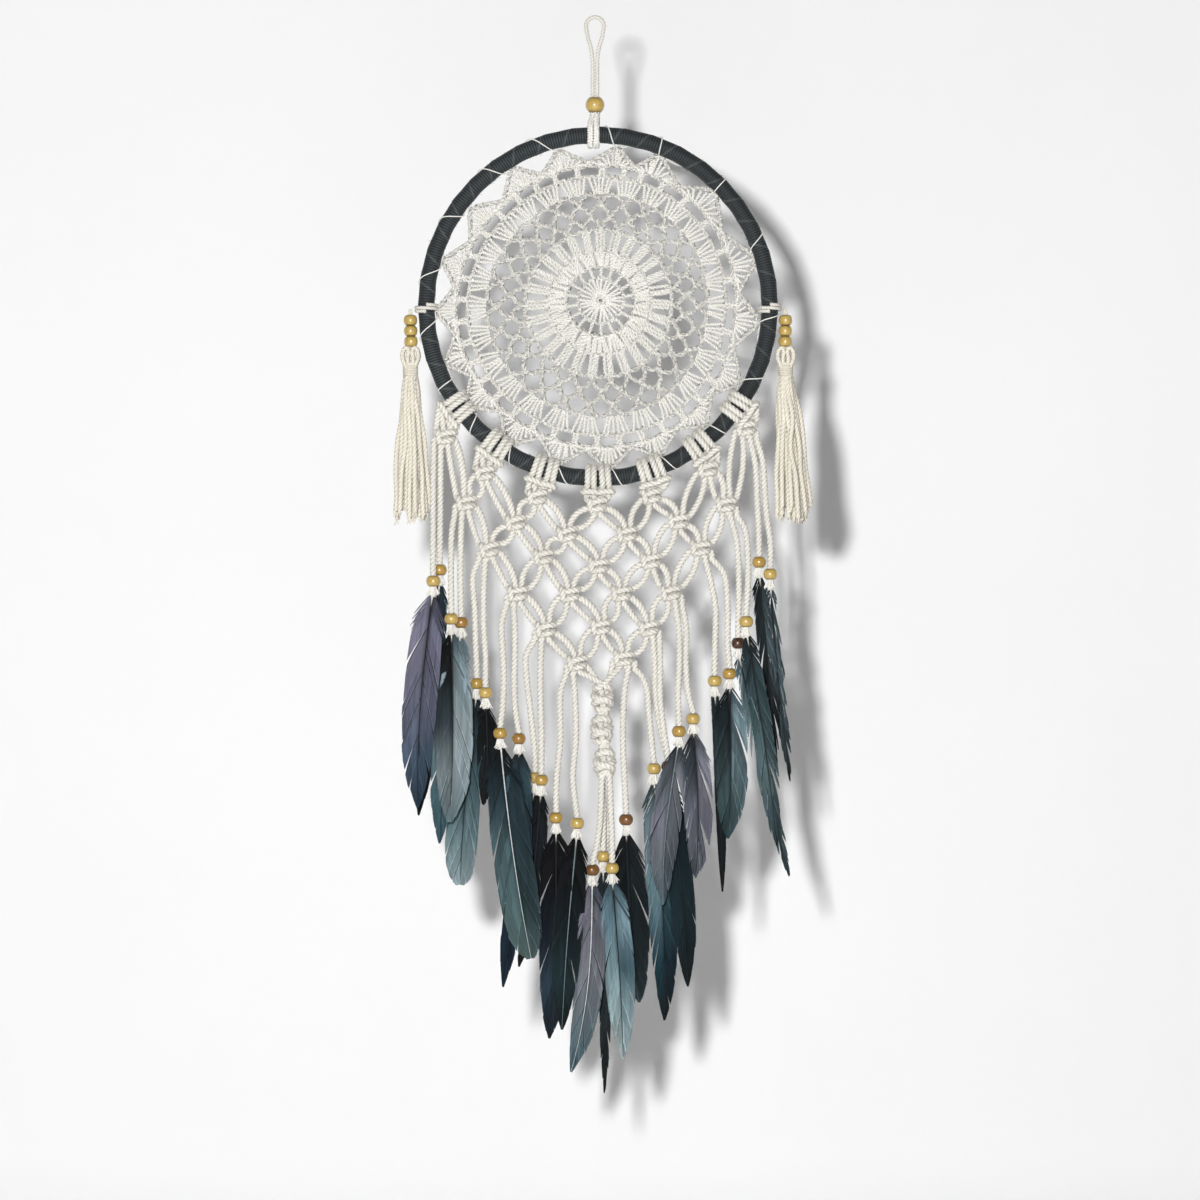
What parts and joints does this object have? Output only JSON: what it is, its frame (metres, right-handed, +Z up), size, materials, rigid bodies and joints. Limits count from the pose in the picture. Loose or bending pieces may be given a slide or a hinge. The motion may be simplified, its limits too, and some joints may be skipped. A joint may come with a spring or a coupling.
{
  "type": "dream catcher",
  "caption": "Hanging dream catcher: ribbon-wrapped hoop with a crochet web, knotted cotton net below, and swinging cotton strands with wooden beads and feathers.",
  "frame": {"origin": "top of the hanging loop, where a hook or nail holds it", "axes": "+Z up along the hanging cord, front of the hoop faces -Y, +X to the viewer's right"},
  "size_m": [0.2386, 0.0274, 0.601],
  "materials": {
    "cream_cord": "matte",
    "web_yarn": "matte",
    "lacing_thread": "satin",
    "tassel_yarn": "matte",
    "slate_ribbon": "satin",
    "hoop_rod": "matte",
    "straw_bead": "gloss",
    "slate_feather": "satin"
  },
  "bodies": {
    "hanger": {"hanging_cord": "cream_cord"},
    "bead_swivel": {"top_bead": "straw_bead"},
    "hitch": {"top_hitch": "cream_cord"},
    "hoop": {"hoop_core": "hoop_rod", "ribbon_wrap": "slate_ribbon", "crochet_web": "web_yarn", "web_lacing": "lacing_thread", "macrame_hitches": "cream_cord", "net_row_1": "cream_cord", "net_row_2": "cream_cord", "net_row_3": "cream_cord", "net_row_4": "cream_cord", "net_row_5": "cream_cord", "net_row_6": "cream_cord", "berry_sinnet": "cream_cord", "left_tassel_tie": "cream_cord", "right_tassel_tie": "cream_cord"},
    "left_drop_1": {"left_drop_1_cords": "cream_cord", "left_drop_1_beads": "straw_bead", "left_drop_1_feathers": "slate_feather"},
    "left_drop_2": {"left_drop_2_cords": "cream_cord", "left_drop_2_beads": "straw_bead", "left_drop_2_feathers": "slate_feather"},
    "left_drop_3": {"left_drop_3_cords": "cream_cord", "left_drop_3_beads": "straw_bead", "left_drop_3_feathers": "slate_feather"},
    "left_drop_4": {"left_drop_4_cords": "cream_cord", "left_drop_4_beads": "straw_bead", "left_drop_4_feathers": "slate_feather"},
    "left_drop_5": {"left_drop_5_cords": "cream_cord", "left_drop_5_beads": "straw_bead", "left_drop_5_feathers": "slate_feather"},
    "left_drop_6": {"left_drop_6_cords": "cream_cord", "left_drop_6_beads": "straw_bead", "left_drop_6_feathers": "slate_feather"},
    "centre_drop": {"centre_drop_cords": "cream_cord", "centre_drop_beads": "straw_bead", "centre_drop_feathers": "slate_feather"},
    "right_drop_6": {"right_drop_6_cords": "cream_cord", "right_drop_6_beads": "straw_bead", "right_drop_6_feathers": "slate_feather"},
    "right_drop_5": {"right_drop_5_cords": "cream_cord", "right_drop_5_beads": "straw_bead", "right_drop_5_feathers": "slate_feather"},
    "right_drop_4": {"right_drop_4_cords": "cream_cord", "right_drop_4_beads": "straw_bead", "right_drop_4_feathers": "slate_feather"},
    "right_drop_3": {"right_drop_3_cords": "cream_cord", "right_drop_3_beads": "straw_bead", "right_drop_3_feathers": "slate_feather"},
    "right_drop_2": {"right_drop_2_cords": "cream_cord", "right_drop_2_beads": "straw_bead", "right_drop_2_feathers": "slate_feather"},
    "right_drop_1": {"right_drop_1_cords": "cream_cord", "right_drop_1_beads": "straw_bead", "right_drop_1_feathers": "slate_feather"},
    "left_tassel": {"left_tassel_beads": "straw_bead", "left_tassel_skirt": "tassel_yarn"},
    "right_tassel": {"right_tassel_beads": "straw_bead", "right_tassel_skirt": "tassel_yarn"}
  },
  "joints": [
    {"name": "hoop_twist", "type": "hinge", "parent": "hanger", "child": "bead_swivel", "pos_m": [0, 0, -0.05], "axis": [0, 0, 1], "range_deg": [-90, 90]},
    {"name": "hoop_swing", "type": "hinge", "parent": "bead_swivel", "child": "hitch", "pos_m": [0, 0, -0.05445], "axis": [0, 1, 0], "range_deg": [-25, 25]},
    {"name": "hoop_tilt", "type": "hinge", "parent": "hitch", "child": "hoop", "pos_m": [0, 0, -0.0667], "axis": [1, 0, 0], "range_deg": [-25, 25]},
    {"name": "left_drop_1_swing", "type": "hinge", "parent": "hoop", "child": "left_drop_1", "pos_m": [-0.0863, 0, -0.24], "axis": [-1, 0, 0], "range_deg": [0, 25]},
    {"name": "left_drop_2_swing", "type": "hinge", "parent": "hoop", "child": "left_drop_2", "pos_m": [-0.0758, 0, -0.277], "axis": [-1, 0, 0], "range_deg": [0, 25]},
    {"name": "left_drop_3_swing", "type": "hinge", "parent": "hoop", "child": "left_drop_3", "pos_m": [-0.0628, 0, -0.303], "axis": [1, 0, 0], "range_deg": [0, 25]},
    {"name": "left_drop_4_swing", "type": "hinge", "parent": "hoop", "child": "left_drop_4", "pos_m": [-0.0473, 0, -0.3275], "axis": [-1, 0, 0], "range_deg": [0, 25]},
    {"name": "left_drop_5_swing", "type": "hinge", "parent": "hoop", "child": "left_drop_5", "pos_m": [-0.0316, 0, -0.347], "axis": [1, 0, 0], "range_deg": [0, 25]},
    {"name": "left_drop_6_swing", "type": "hinge", "parent": "hoop", "child": "left_drop_6", "pos_m": [-0.014, 0, -0.366], "axis": [-1, 0, 0], "range_deg": [0, 25]},
    {"name": "centre_drop_swing", "type": "hinge", "parent": "hoop", "child": "centre_drop", "pos_m": [0.006, 0, -0.424], "axis": [-1, 0, 0], "range_deg": [0, 25]},
    {"name": "right_drop_6_swing", "type": "hinge", "parent": "hoop", "child": "right_drop_6", "pos_m": [0.02, 0, -0.363], "axis": [1, 0, 0], "range_deg": [0, 25]},
    {"name": "right_drop_5_swing", "type": "hinge", "parent": "hoop", "child": "right_drop_5", "pos_m": [0.034, 0, -0.3465], "axis": [1, 0, 0], "range_deg": [0, 25]},
    {"name": "right_drop_4_swing", "type": "hinge", "parent": "hoop", "child": "right_drop_4", "pos_m": [0.0465, 0, -0.327], "axis": [-1, 0, 0], "range_deg": [0, 25]},
    {"name": "right_drop_3_swing", "type": "hinge", "parent": "hoop", "child": "right_drop_3", "pos_m": [0.0631, 0, -0.302], "axis": [-1, 0, 0], "range_deg": [0, 25]},
    {"name": "right_drop_2_swing", "type": "hinge", "parent": "hoop", "child": "right_drop_2", "pos_m": [0.077, 0, -0.278], "axis": [-1, 0, 0], "range_deg": [0, 25]},
    {"name": "right_drop_1_swing", "type": "hinge", "parent": "hoop", "child": "right_drop_1", "pos_m": [0.088, 0, -0.2355], "axis": [1, 0, 0], "range_deg": [0, 25]},
    {"name": "left_tassel_swing", "type": "hinge", "parent": "hoop", "child": "left_tassel", "pos_m": [-0.1025, 0, -0.163], "axis": [1, 0, 0], "range_deg": [-40, 40]},
    {"name": "right_tassel_swing", "type": "hinge", "parent": "hoop", "child": "right_tassel", "pos_m": [0.1059, 0, -0.163], "axis": [1, 0, 0], "range_deg": [-40, 40]}
  ]
}
